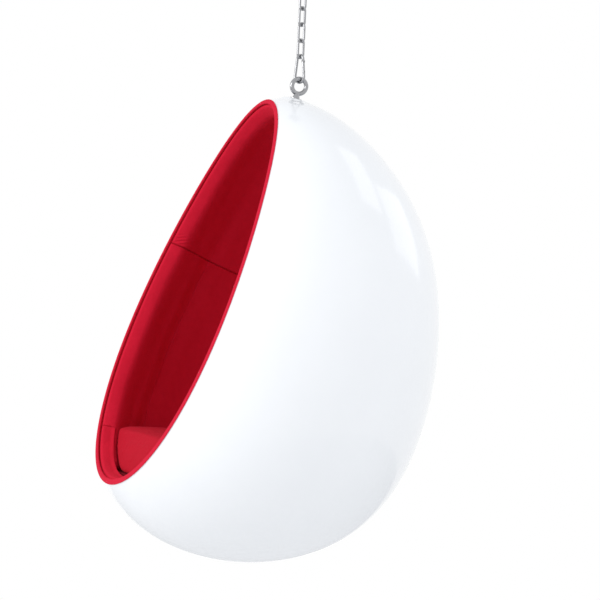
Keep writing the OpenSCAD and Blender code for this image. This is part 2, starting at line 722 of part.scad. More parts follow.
// The cushion: rings from the middle of its under side, up its sides, to its crown;
// each ring is [share of its height, draw-in, share of its outline]
cushion_side = roll_in + cushion_gap;
cushion_z = deck_top + face_gap;
cushion_rings = [
    [0, 1, 0.35], [0, 1, 0.7], [0, 1, 0.97], [0.02, 0.62, 1], [0.07, 0.25, 1], [0.16, 0.06, 1],
    [0.3, 0, 1], [0.5, 0, 1], [0.7, 0, 1], [0.84, 0.06, 1], [0.93, 0.25, 1], [0.98, 0.62, 1],
    [1, 1, 0.97], [1, 1, 0.85], [1, 1, 0.68], [1, 1, 0.48], [1, 1, 0.25]];
seat_mid = [0, seat_y - 20];
function crown(x, f) = cushion_crown * (1 - f * f * (0.6 + 0.4 * pow(min(1, abs(x) / 260), 2)));
function cushion_ring(q) = [for (i = [0 : 51])
    let (a = i * 360 / 52, z = cushion_z + q[0] * cushion_h)
    let (draw = cushion_draw * q[1])
    let (p = level_pt(z, a, cushion_side + draw, front_roll_d + roll_gap + draw))
    let (x = p.x * q[2], y = seat_mid.y + (p.y - seat_mid.y) * q[2])
    [x, y, z + (q[0] < 0.9 ? 0 : crown(x, q[2]))]];

module seat_cushion() {
    rings = [for (q = cushion_rings) cushion_ring(q)];
    n = len(rings);
    m = len(rings[0]);
    low = n * m;
    sides = [for (i = [0 : n - 2], j = [0 : m - 1])
        let (a = i * m + j, b = i * m + (j + 1) % m)
        each [[a, a + m, b + m], [a, b + m, b]]];
    caps = [for (j = [0 : m - 1])
        each [[low, j, (j + 1) % m], [low + 1, low - m + (j + 1) % m, low - m + j]]];
    tip = [0, seat_mid.y, cushion_z + cushion_h + crown(0, 0)];
    color(red) in_egg() polyhedron(
        points = concat([for (r = rings) each r], [[0, seat_mid.y, cushion_z], tip]),
        faces = concat(sides, caps), convexity = 4);
}

ceiling_plate();
swivel_bracket();
thrust_washer();
swivel_eye();
swivel_nut();
chain_link_5();
chain_link_4();
chain_link_3();
chain_link_2();
chain_link_1();
hook_body();
gate_pin();
hook_gate();
gate_spring();
eye_bolt();
neck_washer();
backing_plate();
lock_washer();
eye_nut();
shell();
edge_bead();
tack_strip();
head_pad();
left_pad();
right_pad();
back_pad();
front_roll();
seat_deck();
cleat_front_left();
cleat_front_right();
cleat_back_left();
cleat_back_right();
deck_screws();
seat_cushion();
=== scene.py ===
# %% [markdown]
# # A hanging egg chair
# The chair is a moulded white shell, padded inside with red wool cloth, with a loose
# cushion in its foot. It hangs from a ceiling swivel by a chain, a snap hook and an eye.
# The solids come from the CAD model and never move. This script dresses them: it gives the
# steel its finish, and puts a finer surface wherever the model is plain or faceted.

# %% Load the frame
import bpy
import bmesh
import numpy as np
from mathutils import Matrix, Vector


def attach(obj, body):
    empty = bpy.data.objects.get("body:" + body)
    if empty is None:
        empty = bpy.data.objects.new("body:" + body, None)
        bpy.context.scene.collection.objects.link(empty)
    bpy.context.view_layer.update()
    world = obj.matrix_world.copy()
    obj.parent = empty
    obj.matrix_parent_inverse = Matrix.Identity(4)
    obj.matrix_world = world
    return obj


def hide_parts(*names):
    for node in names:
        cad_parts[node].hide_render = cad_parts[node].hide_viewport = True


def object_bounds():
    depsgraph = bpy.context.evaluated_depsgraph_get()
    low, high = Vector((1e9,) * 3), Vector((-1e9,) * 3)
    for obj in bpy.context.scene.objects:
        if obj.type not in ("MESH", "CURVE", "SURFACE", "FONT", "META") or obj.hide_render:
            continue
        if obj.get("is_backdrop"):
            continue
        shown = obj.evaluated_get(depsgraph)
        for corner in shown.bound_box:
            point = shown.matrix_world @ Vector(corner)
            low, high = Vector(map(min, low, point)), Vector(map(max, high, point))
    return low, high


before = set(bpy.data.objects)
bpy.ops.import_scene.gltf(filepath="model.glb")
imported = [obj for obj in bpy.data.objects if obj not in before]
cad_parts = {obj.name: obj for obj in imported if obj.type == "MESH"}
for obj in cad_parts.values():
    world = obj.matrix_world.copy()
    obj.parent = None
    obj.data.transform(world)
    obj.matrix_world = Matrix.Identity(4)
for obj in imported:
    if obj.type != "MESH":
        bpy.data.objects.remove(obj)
cad_box = [list(map(float, c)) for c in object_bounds()]
print("CAD box in metres:", cad_box)

# %% [markdown]
# ## Camera and studio
# The egg is seen from its left side, a little from the front and above, through a long lens.
# The camera's axes are built from the viewing direction, and a small roll. The lens shift
# puts the egg's own origin at a pixel of the frame without turning the camera.

# %% Camera
egg_place = np.array([0.0, -39.631086, -962.498764])
az, el, roll = np.radians([70.781, 3.072, 2.522])
camera_far = 13.68995
frame_px, px_size = 600, 0.00247
egg_px, egg_py = 272.908, 335.539
back_way = np.array([np.sin(az) * np.cos(el), -np.cos(az) * np.cos(el), np.sin(el)])
right_way = np.array([np.cos(az), np.sin(az), 0.0])
up_way = np.cross(back_way, right_way)
cam_x = np.cos(roll) * right_way + np.sin(roll) * up_way
cam_y = -np.sin(roll) * right_way + np.cos(roll) * up_way
lens = bpy.data.cameras.new("camera")
lens.sensor_width = 36.0
lens.lens = lens.sensor_width * camera_far / (frame_px * px_size)
lens.shift_x = (frame_px / 2 - egg_px) / frame_px
lens.shift_y = (egg_py - frame_px / 2) / frame_px
lens.clip_end = 60
camera = bpy.data.objects.new("camera", lens)
bpy.context.scene.collection.objects.link(camera)
place = egg_place / 1000 + back_way * camera_far


def stood(x, y, z, spot):
    """A 4 by 4 matrix whose columns are three axes and a place."""
    m = np.eye(4)
    m[:3, :3] = np.stack([x, y, z], 1)
    m[:3, 3] = spot
    return Matrix(m.tolist())


camera.matrix_world = stood(cam_x, cam_y, back_way, place)
bpy.context.scene.camera = camera
bpy.context.scene.view_settings.view_transform = "Standard"
print("lens", round(lens.lens, 1), "mm")

# %% [markdown]
# The studio is a pale room: an even world, a big soft lamp in front of the chair's mouth, a
# weaker one from the camera's side and above, one that fills the shell's flank, two narrow
# windows that the shell mirrors, and a pale floor. The camera and polished surfaces see a
# plain white backdrop, while the light on the object stays at a level at which a colour
# renders as it is written.

# %% World and floor
world = bpy.data.worlds.new("studio")
bpy.context.scene.world = world
world.use_nodes = True
wn = world.node_tree.nodes
wl = world.node_tree.links
wn.clear()
w_out = wn.new("ShaderNodeOutputWorld")
w_mix = wn.new("ShaderNodeMixShader")
w_ray = wn.new("ShaderNodeLightPath")
w_sum = wn.new("ShaderNodeMath")
w_sum2 = wn.new("ShaderNodeMath")
w_sum.operation = w_sum2.operation = "MAXIMUM"
w_even = wn.new("ShaderNodeBackground")
w_white = wn.new("ShaderNodeBackground")
w_even.inputs[0].default_value = (0.93, 0.96, 1.0, 1)
w_even.inputs[1].default_value = 0.78
w_white.inputs[0].default_value = (1, 1, 1, 1)
w_white.inputs[1].default_value = 1.0
wl.new(w_ray.outputs["Is Camera Ray"], w_sum.inputs[0])
wl.new(w_ray.outputs["Is Glossy Ray"], w_sum.inputs[1])
wl.new(w_sum.outputs[0], w_sum2.inputs[0])
wl.new(w_ray.outputs["Is Transmission Ray"], w_sum2.inputs[1])
wl.new(w_sum2.outputs[0], w_mix.inputs[0])
wl.new(w_even.outputs[0], w_mix.inputs[1])
wl.new(w_white.outputs[0], w_mix.inputs[2])
wl.new(w_mix.outputs[0], w_out.inputs[0])

floor_drop, floor_r = 0.62, 2.6
bpy.ops.mesh.primitive_circle_add(vertices=96, radius=floor_r, fill_type="NGON",
                                  location=(0, 0, cad_box[0][2] - floor_drop))
floor = bpy.context.object
floor.name = "studio_floor"
floor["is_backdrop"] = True


def lamp(name, spot, aim, size, watts):
    """A square area lamp at spot that looks at aim; its -Z axis is the direction of light."""
    data = bpy.data.lights.new(name, "AREA")
    data.size = size
    data.energy = watts
    obj = bpy.data.objects.new(name, data)
    bpy.context.scene.collection.objects.link(obj)
    z = np.array(spot, float) - np.array(aim, float)
    z /= np.linalg.norm(z)
    x = np.cross([0, 0, 1.0], z)
    x /= np.linalg.norm(x)
    obj.matrix_world = stood(x, np.cross(z, x), z, spot)
    return obj


middle = egg_place / 1000
lamp("front_lamp", middle + [0.6, -3.4, 1.2], middle, 2.0, 61)
lamp("side_lamp", middle + [2.4, -0.6, 2.2], middle + [0, 0, 0.1], 1.6, 6).visible_glossy = False
lamp("fill_lamp", middle + [2.8, 1.2, 0.9], middle, 2.2, 16).visible_glossy = False


window_far = 3.2


def window(name, way, along, tall, wide, watts):
    """A tall, narrow area lamp like a studio window, window_far metres from the chair along
    way, with its long side along 'along' (made square to way)."""
    obj = lamp(name, middle + np.array(way) * window_far, middle, tall, watts)
    obj.data.shape = "RECTANGLE"
    obj.data.size, obj.data.size_y = tall, wide
    z = np.array(way) / np.linalg.norm(way)
    x = np.array(along) - z * (z @ np.array(along))
    x /= np.linalg.norm(x)
    obj.matrix_world = stood(x, np.cross(z, x), z, middle + z * window_far)


window("window_left", (0.10, 0.66, 0.74), (0.40, 0.18, -0.25), 1.3, 0.85, 3)
window("window_right", (-0.09, 0.87, 0.42), (0.18, 0.13, -0.26), 1.15, 1.4, 3.6)

# %% [markdown]
# ## Finishes
# Each finish is one material. Effects that several of them share are node groups: one for a
# woven wool surface, one for the slow unevenness of a sprayed or polished surface. The
# patterns read Object coordinates in metres, so they stay in place when a piece moves.


# %% Node helpers
def group(name, ins, outs):
    """A shader node group with float sockets (or vector ones where the name is 'Vector')."""
    g = bpy.data.node_groups.new(name, "ShaderNodeTree")
    for n, v in ins:
        kind = "NodeSocketVector" if n == "Vector" else "NodeSocketFloat"
        s = g.interface.new_socket(n, in_out="INPUT", socket_type=kind)
        if v is not None:
            s.default_value = v
    for n in outs:
        g.interface.new_socket(n, in_out="OUTPUT", socket_type="NodeSocketFloat")
    return g, g.nodes.new("NodeGroupInput"), g.nodes.new("NodeGroupOutput")


def maths(tree, kind, a, b=None, c=None):
    """One Math node; each input is a number or a socket."""
    n = tree.nodes.new("ShaderNodeMath")
    n.operation = kind
    for i, v in enumerate((a, b, c)):
        if v is None:
            continue
        if isinstance(v, (int, float)):
            n.inputs[i].default_value = v
        else:
            tree.links.new(v, n.inputs[i])
    return n.outputs[0]


def scaled(tree, vector, factor):
    """The vector times a number, or times a socket."""
    n = tree.nodes.new("ShaderNodeVectorMath")
    n.operation = "SCALE"
    tree.links.new(vector, n.inputs[0])
    if isinstance(factor, (int, float)):
        n.inputs["Scale"].default_value = factor
    else:
        tree.links.new(factor, n.inputs["Scale"])
    return n.outputs[0]


def noise(tree, vector, scale, detail=3.0, rough=0.55):
    """A noise texture's value, 0 to 1, at scale ripples a metre."""
    n = tree.nodes.new("ShaderNodeTexNoise")
    n.inputs["Scale"].default_value = scale
    n.inputs["Detail"].default_value = detail
    n.inputs["Roughness"].default_value = rough
    tree.links.new(vector, n.inputs["Vector"])
    return n.outputs[0]


# %% Wool weave group
wool, w_in, w_end = group("wool_weave", [("Vector", None), ("Threads per metre", 620.0),
                                         ("Fuzz", 0.5)], ["Height", "Shade"])
# Threads that cross: sin x sin y + sin y sin z + sin z sin x has cells on any slope
wander = wool.nodes.new("ShaderNodeTexNoise")
wander.inputs["Scale"].default_value = 140
wool.links.new(w_in.outputs["Vector"], wander.inputs["Vector"])
shift = scaled(wool, wander.outputs["Color"], 0.0011)
moved = wool.nodes.new("ShaderNodeVectorMath")
wool.links.new(w_in.outputs["Vector"], moved.inputs[0])
wool.links.new(shift, moved.inputs[1])
turn = maths(wool, "MULTIPLY", w_in.outputs["Threads per metre"], 2 * np.pi)
spread = scaled(wool, moved.outputs[0], turn)
split = wool.nodes.new("ShaderNodeSeparateXYZ")
wool.links.new(spread, split.inputs[0])
sx, sy, sz = [maths(wool, "SINE", split.outputs[i]) for i in range(3)]
lattice = maths(wool, "ADD", maths(wool, "ADD", maths(wool, "MULTIPLY", sx, sy),
                                   maths(wool, "MULTIPLY", sy, sz)),
                maths(wool, "MULTIPLY", sz, sx))
fibre = noise(wool, w_in.outputs["Vector"], 1900, 2.0, 0.7)
blotch = noise(wool, w_in.outputs["Vector"], 90, 4.0, 0.6)
high = maths(wool, "MULTIPLY_ADD", lattice, 0.16,
             maths(wool, "MULTIPLY", fibre, w_in.outputs["Fuzz"]))
wool.links.new(high, w_end.inputs["Height"])
shade = maths(wool, "ADD", maths(wool, "MULTIPLY", high, 0.5), maths(wool, "MULTIPLY", blotch, 0.5))
wool.links.new(shade, w_end.inputs["Shade"])

# %% Unevenness group
uneven, u_in, u_end = group("slow_unevenness", [("Vector", None), ("Low", 0.1),
                                                ("High", 0.2)], ["Level", "Height"])
cloud = noise(uneven, u_in.outputs["Vector"], 7, 4.0, 0.6)
ripple = noise(uneven, u_in.outputs["Vector"], 26, 2.0, 0.5)
ramp = uneven.nodes.new("ShaderNodeMapRange")
ramp.inputs["From Min"].default_value = 0.3
ramp.inputs["From Max"].default_value = 0.7
uneven.links.new(cloud, ramp.inputs["Value"])
uneven.links.new(u_in.outputs["Low"], ramp.inputs["To Min"])
uneven.links.new(u_in.outputs["High"], ramp.inputs["To Max"])
uneven.links.new(ramp.outputs[0], u_end.inputs["Level"])
uneven.links.new(ripple, u_end.inputs["Height"])


# %% Material builder
def finish(name, colour, rough, metal=0.0, **plain):
    """A Principled material with its own values; returns the material, its shader and tree."""
    m = bpy.data.materials.new(name)
    m.use_nodes = True
    m.diffuse_color = (*colour, 1)
    p = next(n for n in m.node_tree.nodes if n.type == "BSDF_PRINCIPLED")
    p.inputs["Base Color"].default_value = (*colour, 1)
    p.inputs["Roughness"].default_value = rough
    p.inputs["Metallic"].default_value = metal
    for key, value in plain.items():
        p.inputs[key.replace("_", " ")].default_value = value
    return m, p, m.node_tree


def own_coords(tree):
    """The Object coordinates, in metres."""
    return tree.nodes.new("ShaderNodeTexCoord").outputs["Object"]


def place_group(tree, g, vector, **values):
    """A group's node in a material, fed with the coordinates and its own numbers."""
    n = tree.nodes.new("ShaderNodeGroup")
    n.node_tree = g
    tree.links.new(vector, n.inputs["Vector"])
    for key, value in values.items():
        n.inputs[key.replace("_", " ")].default_value = value
    return n


def bump(tree, shader, height, strength, distance):
    """Feeds a height into the shader's normal."""
    b = tree.nodes.new("ShaderNodeBump")
    b.inputs["Strength"].default_value = strength
    b.inputs["Distance"].default_value = distance
    tree.links.new(height, b.inputs["Height"])
    tree.links.new(b.outputs[0], shader.inputs["Normal"])
    return b


def two_tone(tree, shader, value, low, high):
    """Mixes two colours by a value from 0 to 1 into Base Color."""
    mix = tree.nodes.new("ShaderNodeMix")
    mix.data_type = "RGBA"
    share = next(s for s in mix.inputs if s.name == "Factor" and s.type == "VALUE")
    tree.links.new(value, share)
    out = next(s for s in mix.outputs if s.type == "RGBA")
    a, b = [s for s in mix.inputs if s.type == "RGBA"]
    a.default_value = (*low, 1)
    b.default_value = (*high, 1)
    tree.links.new(out, shader.inputs["Base Color"])


# %% [markdown]
# The gelcoat is white, glossy and very slightly wavy, as a hand-laid moulding is. The cloth
# is a dense wool: dull, with a soft sheen where it is seen along its surface, and a fine
# texture of crossing threads. The steel is polished where it hangs in sight.

# %% Gelcoat
gelcoat, gel, gt = finish("white_gelcoat", (0.90, 0.905, 0.92), 0.13, Coat_Weight=0.5,
                          Coat_Roughness=0.13)
g_where = own_coords(gt)
g_wave = place_group(gt, uneven, g_where, Low=0.10, High=0.17)
gt.links.new(g_wave.outputs["Level"], gel.inputs["Roughness"])
two_tone(gt, gel, noise(gt, g_where, 5, 3.0), (0.87, 0.878, 0.895), (0.91, 0.918, 0.93))
bump(gt, gel, g_wave.outputs["Height"], 0.12, 0.004)


# %% Cloths
def wool_cloth(name, low, high, threads, fuzz=0.5, strength=0.55):
    """Red wool: two shades mixed by thread and fibre, with their height as bump."""
    m, p, t = finish(name, high, 0.9, Sheen_Weight=0.07, Sheen_Roughness=0.5,
                     Sheen_Tint=(1.0, 0.14, 0.2, 1), Specular_IOR_Level=0.06)
    where = own_coords(t)
    w = place_group(t, wool, where, Threads_per_metre=threads, Fuzz=fuzz)
    two_tone(t, p, w.outputs["Shade"], low, high)
    bump(t, p, w.outputs["Height"], strength, 0.0006)
    return m


red_cloth = wool_cloth("red_wool", (0.54, 0.0096, 0.0275), (0.75, 0.0168, 0.0505), 560)
trim_cloth = wool_cloth("red_trim_cloth", (0.56, 0.011, 0.032), (0.74, 0.024, 0.062), 700)
# Painted shade: a much darker copy of the red wool for the tack strip and the seat's deck, seen
# only in gaps between trim, pads and cushion, where shade falls.
gap_shade_cloth = wool_cloth("deep_red_cloth_painted_gap_shade", (0.16, 0.003, 0.008), (0.22, 0.005, 0.014), 560)
# Painted shade: the cushion's wool is a darker copy of the red wool, standing in for the shade
# where the cushion sits in the hollow.
shaded_cushion_cloth = wool_cloth("red_cushion_wool_painted_shade", (0.42, 0.006, 0.017), (0.56, 0.0095, 0.029), 560)


# %% Steels, wood and plate
def steel_finish(name, colour, low, high, wave=0.1):
    """Polished or plated steel: its tone has darker patches, a few millimetres long, which are
    painted reflections of darker surroundings, and its roughness wanders between low and high."""
    m, p, t = finish(name, colour, low, 1.0)
    where = own_coords(t)
    # Painted reflection: patches of darker tone stand in for darker surroundings mirrored in the
    # steel.
    painted_reflection_tone = tuple(0.62 * c for c in colour)
    two_tone(t, p, noise(t, where, 230, 3.0, 0.6), painted_reflection_tone, colour)
    w = place_group(t, uneven, scaled(t, where, 9.0), Low=low, High=high)
    t.links.new(w.outputs["Level"], p.inputs["Roughness"])
    bump(t, p, w.outputs["Height"], wave, 0.0006)
    return m


# Painted reflection: the polished steel's grey is set low to stand in for darker surroundings
# mirrored in it.
polished = steel_finish("polished_steel", (0.44, 0.445, 0.46), 0.12, 0.22)
brushed = steel_finish("brushed_steel", (0.47, 0.475, 0.49), 0.24, 0.38)
plated = steel_finish("zinc_plate", (0.60, 0.605, 0.62), 0.3, 0.5)
plywood, ply, pt = finish("birch_plywood", (0.60, 0.41, 0.22), 0.6)
p_where = own_coords(pt)
stretch = pt.nodes.new("ShaderNodeMapping")
stretch.inputs["Scale"].default_value = (6, 90, 90)
pt.links.new(p_where, stretch.inputs["Vector"])
grain = noise(pt, stretch.outputs[0], 1.0, 6.0, 0.6)
two_tone(pt, ply, grain, (0.50, 0.32, 0.16), (0.70, 0.50, 0.29))
bump(pt, ply, grain, 0.3, 0.0004)
floor.data.materials.append(finish("studio_floor", (0.86, 0.86, 0.86), 0.9)[0])


def dress(node, material):
    """Gives a CAD node its finish."""
    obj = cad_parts[node]
    for s in obj.material_slots:
        s.material = material
    if not obj.material_slots:
        obj.data.materials.append(material)


# %% [markdown]
# ## The egg's surface
# The egg is a round body on a leaning spine that bends forward at both ends. A point is
# found by walking from inside along a direction until the body's edge is crossed, by
# halving the step. Every layer (shell, bead, padding) is the same surface drawn in by its
# own depth, so one function serves them all.

# %% Egg
egg_r, egg_half, egg_lean = 415.0, 573.0, np.radians(15.5)
egg_taper, egg_fullness = 0.17, 0.065
crown_bend, foot_bend = 99, 34
bend_odd, bend_even = (crown_bend - foot_bend) / 2, (crown_bend + foot_bend) / 2
shell_t, mouth_reach, mouth_lean = 6.0, 247.0, np.radians(21.3)
inward = np.array([0, np.cos(mouth_lean), -np.sin(mouth_lean)])
upward = np.array([0, np.sin(mouth_lean), np.cos(mouth_lean)])
across = np.array([1.0, 0, 0])


def outside(p, inset):
    """How far points p lie outside the egg drawn in by inset: the distance from the bent
    spine minus the radius at that height; negative is inside."""
    yl = p[..., 1] * np.cos(egg_lean) - p[..., 2] * np.sin(egg_lean)
    zl = p[..., 1] * np.sin(egg_lean) + p[..., 2] * np.cos(egg_lean)
    t = zl / (egg_half - inset)
    c = np.clip(t, -1, 1)
    radius = (egg_r - inset) * np.sqrt(1 - c * c) * (1 - egg_taper * c + egg_fullness * c * c)
    gap = np.hypot(p[..., 0], yl + bend_odd * c ** 3 + bend_even * c ** 4) - radius
    return np.where(np.abs(t) < 1, gap, gap + 1000 * (np.abs(t) - 1) + 1)


def wall(origin, way, inset, rounds=34):
    """Points on the drawn-in egg, found from origin along way by halving."""
    shape = np.broadcast_shapes(origin.shape[:-1], way.shape[:-1], np.shape(inset))
    low, high = np.zeros(shape), np.full(shape, 1400.0)
    for _ in range(rounds):
        m = (low + high) / 2
        out = outside(origin + way * m[..., None], inset) > 0
        high, low = np.where(out, m, high), np.where(out, low, m)
    return origin + way * ((low + high) / 2)[..., None]


def at_mouth(s, depth):
    """Point at height s on the mouth's middle line, depth behind the mouth's plane."""
    return (inward * (np.asarray(depth)[..., None] - mouth_reach)
            + upward * np.asarray(s)[..., None])


mouth_mid = at_mouth(0.0, 0.0)
rim_top = float((wall(mouth_mid, upward, 0.0) - mouth_mid) @ upward)
rim_foot = float((wall(mouth_mid, -upward, 0.0) - mouth_mid) @ upward)
rim_mid, rim_tall = (rim_top + rim_foot) / 2, (rim_top - rim_foot) / 2
rim_half = float(wall(at_mouth(rim_mid, 0.0), across, 0.0)[0])
print("mouth half sizes in mm:", round(rim_half, 1), round(rim_tall, 1))


def rim_dir(a, s):
    """Unit direction in the mouth's plane from height s to the rim at angle a."""
    x, y = rim_half * np.cos(a), rim_mid + rim_tall * np.sin(a) - s
    n = np.hypot(x, y)
    return (x / n)[..., None] * across + (y / n)[..., None] * upward


def skin(a, s, depth, v, inset):
    """Points of a layer at rim angle a; depth behind the mouth, then v up the bowl."""
    way = rim_dir(a, s) * np.cos(v)[..., None] + inward * np.sin(v)[..., None]
    return wall(at_mouth(s, depth), way, inset)


# %% [markdown]
# ## Mesh helpers
# A grid of points becomes quads by index arithmetic on whole arrays. Grids may close on
# themselves, and rows that meet in one point are merged afterwards.


# %% Grid to mesh
def grid_quads(rows, cols, close_rows=False, close_cols=False):
    """Index quads of a rows by cols grid, wrapped where it closes."""
    i = np.arange(rows if close_rows else rows - 1)[:, None]
    j = np.arange(cols if close_cols else cols - 1)[None, :]
    i2, j2 = (i + 1) % rows, (j + 1) % cols
    q = np.stack(np.broadcast_arrays(i * cols + j, i2 * cols + j, i2 * cols + j2,
                                     i * cols + j2), -1)
    return q.reshape(-1, 4)


def piece(name, points, faces, material, merge=0.0, to_world=True):
    """A mesh object at the origin from points in millimetres of the egg's frame."""
    p = np.asarray(points, float).reshape(-1, 3)
    p = (p + egg_place) / 1000 if to_world else p / 1000
    me = bpy.data.meshes.new(name)
    me.from_pydata(p.tolist(), [], faces if isinstance(faces, list) else faces.tolist())
    me.materials.append(material)
    obj = bpy.data.objects.new(name, me)
    bpy.context.scene.collection.objects.link(obj)
    clean(obj, merge)
    return obj


def clean(obj, merge=0.0):
    """Merges doubles, turns all faces outwards and shades smooth."""
    bm = bmesh.new()
    bm.from_mesh(obj.data)
    if merge:
        bmesh.ops.remove_doubles(bm, verts=bm.verts, dist=merge)
        bmesh.ops.dissolve_degenerate(bm, edges=bm.edges, dist=merge / 4)
    bmesh.ops.recalc_face_normals(bm, faces=bm.faces)
    for f in bm.faces:
        f.smooth = True
    bm.to_mesh(obj.data)
    bm.free()


def rounded(chain, times=3):
    """Cuts a chain's corners: each pair gives points at a quarter and three quarters."""
    c = np.asarray(chain, float)
    for _ in range(times):
        q = np.empty((2 * len(c), c.shape[1]))
        q[0], q[-1] = c[0], c[-1]
        q[1:-1:2] = 0.75 * c[:-1] + 0.25 * c[1:]
        q[2:-1:2] = 0.25 * c[:-1] + 0.75 * c[1:]
        c = q
    return c


def rounded_ring(chain, times=3):
    """The same for a closed chain."""
    c = np.asarray(chain, float)
    for _ in range(times):
        n = np.roll(c, -1, 0)
        c = np.stack([0.75 * c + 0.25 * n, 0.25 * c + 0.75 * n], 1).reshape(-1, c.shape[1])
    return c


# %% [markdown]
# ## Shell
# The shell is laid up in a mould, so it has no seam. Its outer and inner faces are two
# layers of the egg, joined at the edge of the mouth. Round the eye the moulding rises to a
# small flat, made here as a ring that melts into the egg.

# %% Shell
shell_sides = 288
rows = np.radians(np.concatenate([[0, 0.6], np.linspace(2, 89.2, 88), [90]]))
angles = -np.arange(shell_sides) * 2 * np.pi / shell_sides
A, V = np.meshgrid(angles, rows, indexing="ij")
outer = skin(A, rim_mid, 0.0, V, 0.0)
inner = skin(A[:, ::3], rim_mid, 0.0, V[:, ::3], shell_t)
loop = np.concatenate([outer, inner[:, ::-1]], 1)
shell = piece("shell_moulding", loop,
              grid_quads(shell_sides, loop.shape[1], True, True), gelcoat, merge=1e-5)
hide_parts("shell")
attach(shell, "egg")
print("shell faces:", len(shell.data.polygons))

# %% Eye's flat
eye_lean = np.radians(13)
eye_axis = np.array([0, np.sin(eye_lean), np.cos(eye_lean)])
eye_side = np.array([0, np.cos(eye_lean), -np.sin(eye_lean)])
eye_z = -345.2
eye_mid = np.array([0, 0, eye_z]) - egg_place
eye_in_r, eye_wire, neck_h, washer_t = 13, 11, 7, 1.5
flat_z = -(eye_in_r + eye_wire + neck_h + washer_t)
flat_in, flat_out, flat_sides, flat_t = 6.2, 46, 96, 3.0
melt_from, melt_over = 21, 23


def eye_point(r, turn, h):
    """Point at radius r, angle turn and height h of the eye's own frame."""
    return (eye_mid + (r * np.cos(turn))[..., None] * across
            + (r * np.sin(turn))[..., None] * eye_side + h[..., None] * eye_axis)


T, R = np.meshgrid(np.linspace(0, 2 * np.pi, flat_sides + 1)[:-1],
                   np.concatenate([[flat_in], np.linspace(7, flat_out, 30)]), indexing="ij")
flat = eye_point(R, T, np.full(R.shape, flat_z))
drop = (wall(flat - eye_axis * 40, eye_axis + 0 * flat, 0.0) - flat) @ eye_axis
# A smooth step takes the flat over into the egg; its last row dips just under the shell
fade = np.clip((R - melt_from) / melt_over, 0, 1)
fade = fade * fade * (3 - 2 * fade)
top = flat + (drop * fade - 0.25 * (R > flat_out - 1))[..., None] * eye_axis
under = top - flat_t * eye_axis
ring = np.concatenate([top, under[:, ::-1]], 1)
eye_flat = piece("shell_eye_flat", ring,
                 grid_quads(flat_sides, ring.shape[1], True, True), gelcoat)
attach(eye_flat, "egg")

# %% [markdown]
# ## Edge trim
# A cloth-covered rubber trim is pushed over the shell's edge. Its section is a soft U with a
# rounded nose, carried round the mouth. Each point is a depth behind the mouth and an inset
# from the shell's outer face.

# %% Trim
seat_gap, trim_in, lap, inner_lap, lip = 0.4, 6.4, 2.2, 6.6, 7.7
nose_in, nose_out, front = 8.6, -2.4, 2.7
trim_section = [
    [lap, -seat_gap], [-seat_gap, -seat_gap], [-seat_gap, trim_in], [lip, trim_in],
    [lip, nose_in - 0.4], [lip - 1.4, nose_in], [1.5, nose_in],
    [-front + 2.6, nose_in - 1], [-front + 0.7, nose_in - 3.4], [-front, shell_t / 2],
    [-front + 0.7, nose_out + 3.2], [-front + 2.6, nose_out + 1], [0, nose_out + 0.2],
    [lap - 1.2, nose_out + 0.4], [lap, nose_out + 1.6]]
trim_sides = 360
sec = rounded_ring(trim_section, 2)
A, D = np.meshgrid(-np.arange(trim_sides) * 2 * np.pi / trim_sides, sec[:, 0], indexing="ij")
I = np.broadcast_to(sec[:, 1], A.shape)
trim = piece("edge_trim", skin(A, rim_mid, D, 0 * A, I),
             grid_quads(trim_sides, len(sec), True, True), trim_cloth)
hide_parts("edge_bead")
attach(trim, "egg")

# %% [markdown]
# ## Padding
# Foam pads are moulded to the shell and covered with wool cloth, which is pulled tight and
# sewn. Five pads meet at seams: a hood pad over the head, one pad down each side, a pad
# across the back, and a short roll across the front of the seat. Near the mouth the foam
# thickens into a roll. Each pad is a section carried round the rim, whose points are a depth
# behind the mouth and an inset from the egg's surface. Near a seam the cloth turns down over
# a few millimetres, which is what makes a seam show.

# %% Pad sections
wall_gap, pad_t, roll_rise, side_seam, head_seam = 1.9, 33.0, 4.0, 130.0, 131.0
strip_gap, strip_t, face_gap, side_back = 1.1, 4, 0.3, 70
pad_out, pad_foot = shell_t + wall_gap, shell_t + strip_gap + strip_t + wall_gap
pad_in = pad_out + pad_t
roll_in, roll_face = pad_in + roll_rise, inner_lap - 1.4
clear_strip, roll_depth, deck_top = 28.6, 36.0, -352.0
head_s, low_s, fan_s = head_seam + face_gap, head_seam - face_gap, rim_foot + 265
front_seam = np.radians(46.5)
roll_front = [[inner_lap + 0.8, 8.4], [inner_lap + 0.3, 8.6], [inner_lap + 0.1, 10.4],
              [roll_face + 0.4, 12], [roll_face + 0.6, 14.5], [roll_face + 3.4, 18.5],
              [roll_face + 8.6, 23.5], [roll_face + 14.6, 29], [roll_face + 20.6, 34]]
roll_back = [[32, 38.8], [38, 42], [44, 44], [51, 44.8], [59, 44.6], [69, 43.4], [80, 41.8]]
heel = [[clear_strip, pad_out], [clear_strip, pad_foot], [inner_lap + 1.4, 11.8]]


def seam_turn(s):
    """Rim angle at which a plane square to the mouth at height s meets the rim."""
    return np.arcsin((s - rim_mid) / rim_tall)


def valley(distance, reach, most):
    """A soft hollow at a distance from a seam: half a cosine wave."""
    return most * (1 + np.cos(np.pi * np.clip(distance / reach, 0, 1))) / 2


def turn_down(distance, reach=9.0, most=6.5):
    """How far the cloth dives at a distance from a seam: a quarter circle's profile."""
    d = np.clip(distance / reach, 0, 1)
    return most * (1 - np.sqrt(1 - (1 - d) ** 2))


def cross_groove(distance):
    """The cloth's dive at a distance from the seam that runs across the back of the head."""
    return -turn_down(distance, 4.5, 4.5) - valley(distance, 14, 0.8)


def mouth_xy(p):
    """Coordinates of points in the mouth's plane, and their depth behind it."""
    return p[..., 0], p @ upward, p @ inward + mouth_reach


